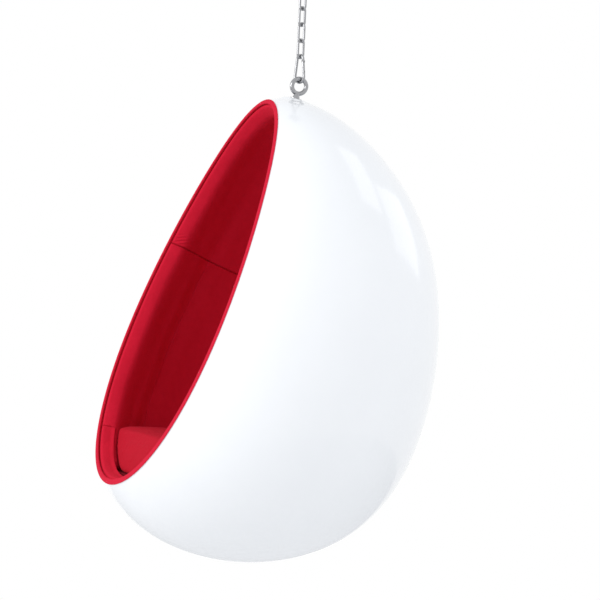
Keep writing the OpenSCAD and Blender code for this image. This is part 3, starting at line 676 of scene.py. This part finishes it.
def waves(p, size, seed):
    """A soft pattern from -1 to 1: a sum of seven sines in fixed, spread directions."""
    rng = np.random.default_rng(seed)
    k = rng.normal(size=(7, 3))
    k *= (2 * np.pi / size * rng.uniform(0.6, 1.6, 7) / np.linalg.norm(k, axis=1))[:, None]
    return np.sin(p @ k.T + rng.uniform(0, 6.28, 7)).sum(-1) / 3.2


def rim_steps(first, last, count, seams, spread=30.0, fine=1.4):
    """Rim angles from first to last, count of them evenly, and finer ones within spread
    millimetres of the seams' angles, since a seam's groove is only a few millimetres wide."""
    rim_radius = 430
    near = np.arange(-spread, spread, fine) / rim_radius
    a = np.concatenate([np.linspace(first, last, count)] + [q + near for q in seams])
    low, high = min(first, last), max(first, last)
    a = np.unique(np.round(a[(a >= low) & (a <= high)], 5))
    return a if last > first else a[::-1]


def pad_surface(a_list, s, chain, n_skin, rise_of):
    """A pad as a grid: the chain's (depth, v, inset) at each rim angle. The first n_skin
    points are cloth and rise by rise_of(points), which is below zero at a seam: into the
    egg's hollow on the wall, and forward on the roll's front face. The rest is the foam's
    back."""
    chain = np.asarray(chain)
    a, d = np.meshgrid(a_list, chain[:, 0], indexing="ij")
    v = np.broadcast_to(np.radians(chain[:, 1]), a.shape)
    inset = np.broadcast_to(chain[:, 2], a.shape).copy()
    rise = rise_of(skin(a, s, d, v, inset)[:, :n_skin])
    wall_share = np.clip((inset[:, :n_skin] - 20) / 18, 0, 1)
    front_share = (1 - wall_share) * np.clip((inset[:, :n_skin] - 10) / 5, 0, 1)
    d = d.copy()
    d[:, :n_skin] -= np.minimum(rise, 0.3) * front_share
    inset[:, :n_skin] += rise * wall_share
    return skin(a, s, d, v, inset)


def close_ends(rows, cols):
    """End faces of a sweep whose section is a closed loop of cols points."""
    return [list(range(cols))[::-1], [(rows - 1) * cols + k for k in range(cols)]]


def sewn_pad(name, steps, s, chain, n_skin, rise_of):
    """A pad's cloth and back as one closed mesh, with its two ends covered."""
    chain = np.asarray(chain)
    faces = grid_quads(len(steps), len(chain), False, True).tolist()
    obj = piece(name, pad_surface(steps, s, chain, n_skin, rise_of),
                faces + close_ends(len(steps), len(chain)), red_cloth, merge=2e-5)
    print(name, "is swept with", len(obj.data.polygons), "faces")
    return obj


def trim_below(obj, level):
    """Cuts a piece off level with the seat's deck and closes the cut."""
    bm = bmesh.new()
    bm.from_mesh(obj.data)
    z = (level + egg_place[2]) / 1000
    bmesh.ops.bisect_plane(bm, geom=bm.verts[:] + bm.edges[:] + bm.faces[:], dist=1e-7,
                           plane_co=(0, 0, z), plane_no=(0, 0, -1), clear_outer=True)
    edges = [e for e in bm.edges if e.is_boundary]
    bmesh.ops.holes_fill(bm, edges=edges, sides=0)
    bmesh.ops.recalc_face_normals(bm, faces=bm.faces)
    bm.to_mesh(obj.data)
    bm.free()


def with_v(pairs, v=0.0):
    """Adds the bowl angle to (depth, inset) pairs."""
    return [[d, v, i] for d, i in pairs]


# %% Head pad
bowl = list(range(6, 88, 4))
head_front = with_v(roll_front + roll_back + [[95, 41], [115, 40.9], [side_seam, 40.9]])
head_cloth = rounded(head_front + [[side_seam, v, pad_in + 1.1 * max(0, 1 - v / 12)]
                                   for v in bowl] + [[side_seam, 90, pad_in]], 2)
head_rest = np.array([[side_seam, v, pad_out] for v in [90] + bowl[::-1] + [0]]
                     + with_v([[side_back, pad_out]] + heel))
head_chain = np.concatenate([head_cloth, head_rest])
first = np.pi - seam_turn(head_s)


def head_rise(p):
    """Grooves at the cross seam and the back seam, fine puckers that fan out from the cross
    seam over the roll, one slack fold higher up, and slow waves."""
    _, y, depth = mouth_xy(p)
    up = y - head_s
    seam = cross_groove(up)
    seam -= valley(np.abs(depth - side_seam), 34, 4.5) * (0.3 + 0.7 * np.exp(-(up / 150) ** 2))
    pucker_pitch, fold_s, fold_depth = 7.5, 288, 46
    slant = up * 0.80 - np.clip(depth, 0, 90) * (0.58 - 0.003 * depth)
    fan = slant * 2 * np.pi / pucker_pitch
    pucker = 0.9 * np.sin(fan) * np.exp(-((up - 15) / 13) ** 2 - ((depth - 24) / 26) ** 2)
    fold = (y - fold_s - 0.42 * (depth - fold_depth)) / 3.2
    pucker -= 1.3 * fold * np.exp(-fold ** 2 / 2 - ((depth - fold_depth) / 13) ** 2)
    return seam + 0.9 * waves(p, 150, 3) + 0.35 * waves(p, 46, 4) + pucker


last = first - (np.pi - 2 * seam_turn(head_s))
head = sewn_pad("head_pad_cloth", rim_steps(first, last, 190, (first, last), 45), head_s,
                head_chain, len(head_cloth), head_rise)

# %% Side pads
side_pairs = roll_front + roll_back + [[92, 41], [104, 40.9], [116, 40.9],
                                       [side_seam - face_gap, 41]]
side_cloth = rounded(with_v(side_pairs), 3)
side_chain = np.concatenate([side_cloth, with_v([[side_seam - face_gap, pad_out],
                                                 [side_back, pad_out]] + heel)])
side_first = np.pi - seam_turn(low_s)


def front_seam_gap(p):
    """Signed distance in the mouth's plane above the slanting front seams."""
    x, y, _ = mouth_xy(p)
    way = rim_dir(np.array(np.pi + front_seam), fan_s)
    ux, uy = -way[0], way @ upward
    return (y - fan_s) * ux - np.abs(x) * uy


def side_rise(p):
    """Grooves at the cross seam, the back seam and the front seam, and slow waves."""
    _, y, depth = mouth_xy(p)
    seam = cross_groove(low_s - y)
    seam -= valley(side_seam - depth, 34, 6.5) + turn_down(side_seam - depth, 3, 0.5)
    seam += 1.4 * waves(p, 70, 11) * valley(side_seam - depth, 50, 1)
    seam -= turn_down(np.abs(front_seam_gap(p)), 3, 4) * (depth < 42)
    return seam + 1.0 * waves(p, 170, 5) + 0.3 * waves(p, 50, 6)


steps = rim_steps(side_first, side_first + np.radians(66) + seam_turn(low_s), 150,
                  (side_first, np.pi + front_seam - 0.16))
side = sewn_pad("side_pad_left_cloth", steps, low_s, side_chain, len(side_cloth), side_rise)

# %% [markdown]
# The front roll runs between two slanting seams. The side pads stop there, so a wedge is cut
# out of each with a boolean: the wedge is the roll's own space, drawn as a prism.


# %% Wedge cut
def wedge():
    """The prism between the two front seams, from in front of the mouth to the roll's back."""
    way = rim_dir(np.array(np.pi + front_seam), fan_s)
    far = 700
    x, y = -way[0] * far, way @ upward * far
    shape = [(0, face_gap), (-x, y + face_gap), (-x, -far), (x, -far), (x, y + face_gap)]
    pts = [at_mouth(np.array(fan_s + q), np.array(d)) + across * p
           for d in (-60.0, roll_depth + 1) for p, q in shape]
    n = len(shape)
    sides = [[i, (i + 1) % n, n + (i + 1) % n, n + i] for i in range(n)]
    return piece("wedge", pts, sides + [list(range(n))[::-1], list(range(n, 2 * n))], red_cloth)


def cut(obj, tool):
    """Takes the tool's space out of obj, with Blender's exact boolean, and applies it."""
    m = obj.modifiers.new("cut", "BOOLEAN")
    m.operation = "DIFFERENCE"
    m.solver = "EXACT"
    m.object = tool
    bpy.context.view_layer.update()
    done = bpy.data.meshes.new_from_object(obj.evaluated_get(
        bpy.context.evaluated_depsgraph_get()))
    obj.modifiers.clear()
    obj.data = done


tool = wedge()
cut(side, tool)
bpy.data.objects.remove(tool)
trim_below(side, deck_top + face_gap)
print("side pad faces after the cuts:", len(side.data.polygons))

# %% Right side
mirrored = side.data.copy()
n = len(mirrored.vertices)
co = np.empty(3 * n)
mirrored.vertices.foreach_get("co", co)
co[::3] *= -1
mirrored.vertices.foreach_set("co", co)
mirrored.flip_normals()
right_side = bpy.data.objects.new("side_pad_right_cloth", mirrored)
bpy.context.scene.collection.objects.link(right_side)

# %% Back pad
back_depth = side_seam + face_gap
back_thin = 2.8
back_cloth = rounded(
    [[back_depth, v, pad_in - back_thin * np.cos(np.radians(min(90, v * 2.4))) ** 2]
     for v in [0, 3] + bowl] + [[back_depth, 90, pad_in]], 2)
back_rest = np.array([[back_depth, v, pad_out] for v in [90] + bowl[::-1] + [0]])
back_chain = np.concatenate([back_cloth, back_rest])


def back_rise(p):
    """Grooves at the cross seam and the side seam, and slow waves."""
    _, y, depth = mouth_xy(p)
    seam = cross_groove(low_s - y)
    seam -= valley(depth - side_seam, 44, 4.2) + turn_down(depth - side_seam, 3, 0.5)
    seam += 1.4 * waves(p, 70, 11) * valley(depth - side_seam, 50, 1)
    return seam + 1.2 * waves(p, 190, 7) + 0.3 * waves(p, 52, 8)


first, last = 2 * np.pi + seam_turn(low_s), np.pi - seam_turn(low_s)
back = sewn_pad("back_pad_cloth", rim_steps(first, last, 200, (first, last), 16), low_s,
                back_chain, len(back_cloth), back_rise)
trim_below(back, deck_top + face_gap)

# %% Front roll
roll_pairs = roll_front + [[31, 39.6], [roll_depth - 2, 42.2], [roll_depth, 41.5],
                           [roll_depth, 30]]
roll_cloth = rounded(with_v(roll_pairs), 3)
roll_chain = np.concatenate([roll_cloth, with_v([[roll_depth, pad_out]] + heel)])


def roll_rise(p):
    """Grooves at the two front seams, and slow waves."""
    seam = -turn_down(np.abs(front_seam_gap(p)), 3, 4)
    return seam + 0.5 * waves(p, 90, 9) + 0.25 * waves(p, 34, 10)


first, last = 2 * np.pi - front_seam, np.pi + front_seam
roll_piece = sewn_pad("front_roll_cloth", rim_steps(first, last, 120, (first, last), 12),
                      fan_s, roll_chain, len(roll_cloth), roll_rise)

# %% What the pads stand for
for obj, node in ((head, "head_pad"), (side, "left_pad"), (right_side, "right_pad"),
                  (back, "back_pad"), (roll_piece, "front_roll")):
    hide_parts(node)
    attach(obj, "egg")
    print(obj.name, len(obj.data.polygons), "faces")

# %% [markdown]
# ## Seat cushion
# The cushion is a loose boxed block of foam. Its outline is the hollow's own, a little
# smaller, cut straight along the front. It starts slightly small, and a short cloth
# simulation with inner pressure swells it by a few millimetres and softens its edges. What
# would then reach into the lining, the roll or the deck is held back.

# %% Cushion rings
cushion_z, cushion_h, crown_h, draw_in = deck_top + face_gap, 102.5, 6.0, 4.5
front_plane, seat_y, cushion_mid, top_fall = roll_depth + 0.4, -90.0, -110.0, 0.06
cushion_sides, fall_from, edge_dip, start_gap = 320, -300, 2.0, 1.0


def level_points(z, a, inset, depth):
    """Points of the egg drawn in by inset on a level, cut by a plane behind the mouth."""
    way = np.stack([np.cos(a), np.sin(a), 0 * a], -1)
    start = np.stack([0 * a, 0 * a + seat_y, z + 0 * a], -1)
    p = wall(start, way, inset)
    y_min = (depth - mouth_reach + z * np.sin(mouth_lean)) / np.cos(mouth_lean)
    p[..., 1] = np.maximum(p[..., 1], y_min)
    return p


def crown(x, f):
    """The rise of the top over its edge, for the share f of the way out from the middle."""
    return crown_h * (1 - f * f * (0.6 + 0.4 * np.minimum(1, np.abs(x) / 260) ** 2))


around = np.arange(cushion_sides) * 2 * np.pi / cushion_sides
# Each level is a share of the height, of the pull inwards and of the outline's size: the
# underside from the middle out, the side with its two soft edges, and the top back in
levels = [[0, 1, k] for k in np.linspace(0.04, 0.97, 10)] + [
    [0.008, 0.72, 1], [0.03, 0.45, 1], [0.07, 0.22, 1], [0.13, 0.07, 1], [0.2, 0, 1],
    [0.32, 0, 1], [0.44, 0, 1], [0.56, 0, 1], [0.68, 0, 1], [0.8, 0, 1], [0.87, 0.07, 1],
    [0.93, 0.22, 1], [0.97, 0.45, 1], [0.992, 0.72, 1]] + [
    [1, 1, k] for k in np.linspace(0.97, 0.04, 16)]
rings = []
for up, pull, share in levels:
    z = cushion_z + up * cushion_h
    p = level_points(z, around, roll_in + start_gap + draw_in * pull,
                     front_plane + 0.4 + draw_in * pull)
    x = p[:, 0] * share
    y = cushion_mid + (p[:, 1] - cushion_mid) * share
    rise = crown(x, share) - edge_dip * up if up > 0.9 else 0 * x
    # The seat leans back: the height falls with the distance behind the front
    fall = up * top_fall * np.maximum(0, y - fall_from)
    rings.append(np.stack([x, y, z + rise - fall], -1))
rings = np.array(rings)
n_ring = len(levels)
cushion = piece("seat_cushion_cover", rings,
                grid_quads(n_ring, cushion_sides, False, True).tolist()
                + close_ends(n_ring, cushion_sides), shaded_cushion_cloth)
print("cushion rings:", n_ring)


# %% Swell
def swell(obj, voxel=0.006, pressure=3.0, cap=0.0035, frames=20):
    """Voxel remesh, cloth with pressure and no gravity, then each point's way is capped."""
    bpy.ops.object.select_all(action="DESELECT")
    bpy.context.view_layer.objects.active = obj
    obj.select_set(True)
    r = obj.modifiers.new("remesh", "REMESH")
    r.mode = "VOXEL"
    r.voxel_size = voxel
    bpy.ops.object.modifier_apply(modifier=r.name)
    n = len(obj.data.vertices)
    before = np.empty(3 * n)
    obj.data.vertices.foreach_get("co", before)
    c = obj.modifiers.new("cloth", "CLOTH")
    c.settings.quality = 5
    c.settings.mass = 0.3
    c.settings.tension_stiffness = 15
    c.settings.compression_stiffness = 15
    c.settings.bending_stiffness = 0.6
    c.settings.use_pressure = True
    c.settings.uniform_pressure_force = pressure
    c.settings.effector_weights.gravity = 0
    c.collision_settings.use_collision = False
    scene = bpy.context.scene
    for f in range(1, frames + 1):
        scene.frame_set(f)
    done = obj.evaluated_get(bpy.context.evaluated_depsgraph_get())
    after = np.empty(3 * n)
    done.data.vertices.foreach_get("co", after)
    obj.modifiers.remove(c)
    scene.frame_set(1)
    way = (after - before).reshape(-1, 3)
    length = np.linalg.norm(way, axis=1, keepdims=True)
    way *= np.minimum(1, cap / np.maximum(length, 1e-9))
    obj.data.vertices.foreach_set("co", (before.reshape(-1, 3) + way).ravel())
    print(obj.name, "swelled by up to", round(float(length.max()) * 1000, 1), "mm,", n, "points")


def points_of(obj):
    """The mesh's points in millimetres of the egg's frame."""
    co = np.empty(3 * len(obj.data.vertices))
    obj.data.vertices.foreach_get("co", co)
    return co.reshape(-1, 3) * 1000 - egg_place


def set_points(obj, p):
    """Gives the mesh its points in millimetres of the egg's frame."""
    obj.data.vertices.foreach_set("co", ((p + egg_place) / 1000).ravel())
    obj.data.update()


swell(cushion)
p = points_of(cushion)
# The block stays on its deck, inside the hollow and behind the roll
p[:, 2] = np.maximum(p[:, 2], cushion_z)
depth = p @ inward + mouth_reach
p += inward * np.maximum(0, front_plane + face_gap - depth)[:, None]
middle_line = np.stack([0 * p[:, 0], 0 * p[:, 0] + seat_y, p[:, 2]], -1)
way = p - middle_line
length = np.linalg.norm(way, axis=1)
far = np.linalg.norm(wall(middle_line, way / np.maximum(length, 1e-6)[:, None], roll_in + 0.9,
                          24) - middle_line, axis=1)
p = middle_line + way * np.minimum(1, far / np.maximum(length, 1e-6))[:, None]
set_points(cushion, p)
for poly in cushion.data.polygons:
    poly.use_smooth = True
m = cushion.modifiers.new("smooth", "SUBSURF")
m.levels = m.render_levels = 1
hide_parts("seat_cushion")
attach(cushion, "cushion")

# %% [markdown]
# ## Steel
# A chain link is bent from round bar. A bar is a circle carried along a path, so each link
# is a tube round its own centre line, smoother than the model's facets. The other steel
# pieces keep the model's own surface.


# %% Bars
def bar(path, radius, sides):
    """A tube round a closed, flat path: at each point a circle square to the path, drawn
    from the path's sideways direction and the one square to its plane."""
    ahead = np.roll(path, -1, 0) - np.roll(path, 1, 0)
    ahead /= np.linalg.norm(ahead, axis=1, keepdims=True)
    flat_way = np.cross(path[1] - path[0], path[len(path) // 3] - path[0])
    flat_way /= np.linalg.norm(flat_way)
    side_way = np.cross(ahead, flat_way)
    t = np.arange(sides) * 2 * np.pi / sides
    return path[:, None] + radius * (np.cos(t)[None, :, None] * side_way[:, None]
                                     + np.sin(t)[None, :, None] * flat_way)


def turned_by(points, angle):
    """Points turned about the upright axis."""
    c, s = np.cos(angle), np.sin(angle)
    return points @ np.array([[c, s, 0], [-s, c, 0], [0, 0, 1.0]])


def stadium(half_w, length, n=18):
    """The centre line of a link in the XZ plane: two half circles and two straights."""
    t = np.linspace(0, np.pi, n)
    top = np.stack([half_w * np.cos(t), 0 * t, half_w * np.sin(t) - half_w], -1)
    low = np.stack([-half_w * np.cos(t), 0 * t, half_w - length - half_w * np.sin(t)], -1)
    gap = np.linspace(0, 1, 8)[1:-1, None]
    return np.concatenate([top, top[-1] + (low[0] - top[-1]) * gap, low,
                           low[-1] + (top[0] - low[-1]) * gap])


# %% Chain
chain_yaw = np.radians(26)
link_r, link_len, link_wire, link_z5, pitch = 9.5, 46.0, 6.0, -71.0, 39.7
bar_sides, under_size = 24, 0.01
for k in (5, 4, 3, 2, 1):
    path = stadium(link_r, link_len)
    tube = bar(path, link_wire / 2 - under_size, bar_sides)
    tube = turned_by(tube, chain_yaw + (np.pi / 2 if k % 2 else 0))
    tube[..., 2] += link_z5 - (5 - k) * pitch
    link = piece("link_bar_%d" % k, tube, grid_quads(len(path), bar_sides, True, True),
                 polished, to_world=False)
    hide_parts("chain_link_%d" % k)
    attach(link, "top_link" if k == 5 else "chain")

# %% Finishes of the model's own pieces
for node in ("ceiling_plate", "swivel_bracket"):
    dress(node, brushed)
for node in ("thrust_washer", "swivel_eye", "swivel_nut", "hook_body", "gate_pin", "hook_gate",
             "eye_bolt", "neck_washer"):
    dress(node, polished)
for node in ("backing_plate", "lock_washer", "eye_nut", "deck_screws", "gate_spring"):
    dress(node, plated)
# Painted shade: the tack strip and deck wear the darker cloth so the gaps read as shadow.
for node in ("tack_strip", "seat_deck"):
    dress(node, gap_shade_cloth)
for node in ("cleat_front_left", "cleat_front_right", "cleat_back_left",
             "cleat_back_right"):
    dress(node, plywood)

# %% Measure and finish
low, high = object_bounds()
print("visual box:", [round(float(v), 4) for v in (*low, *high)])
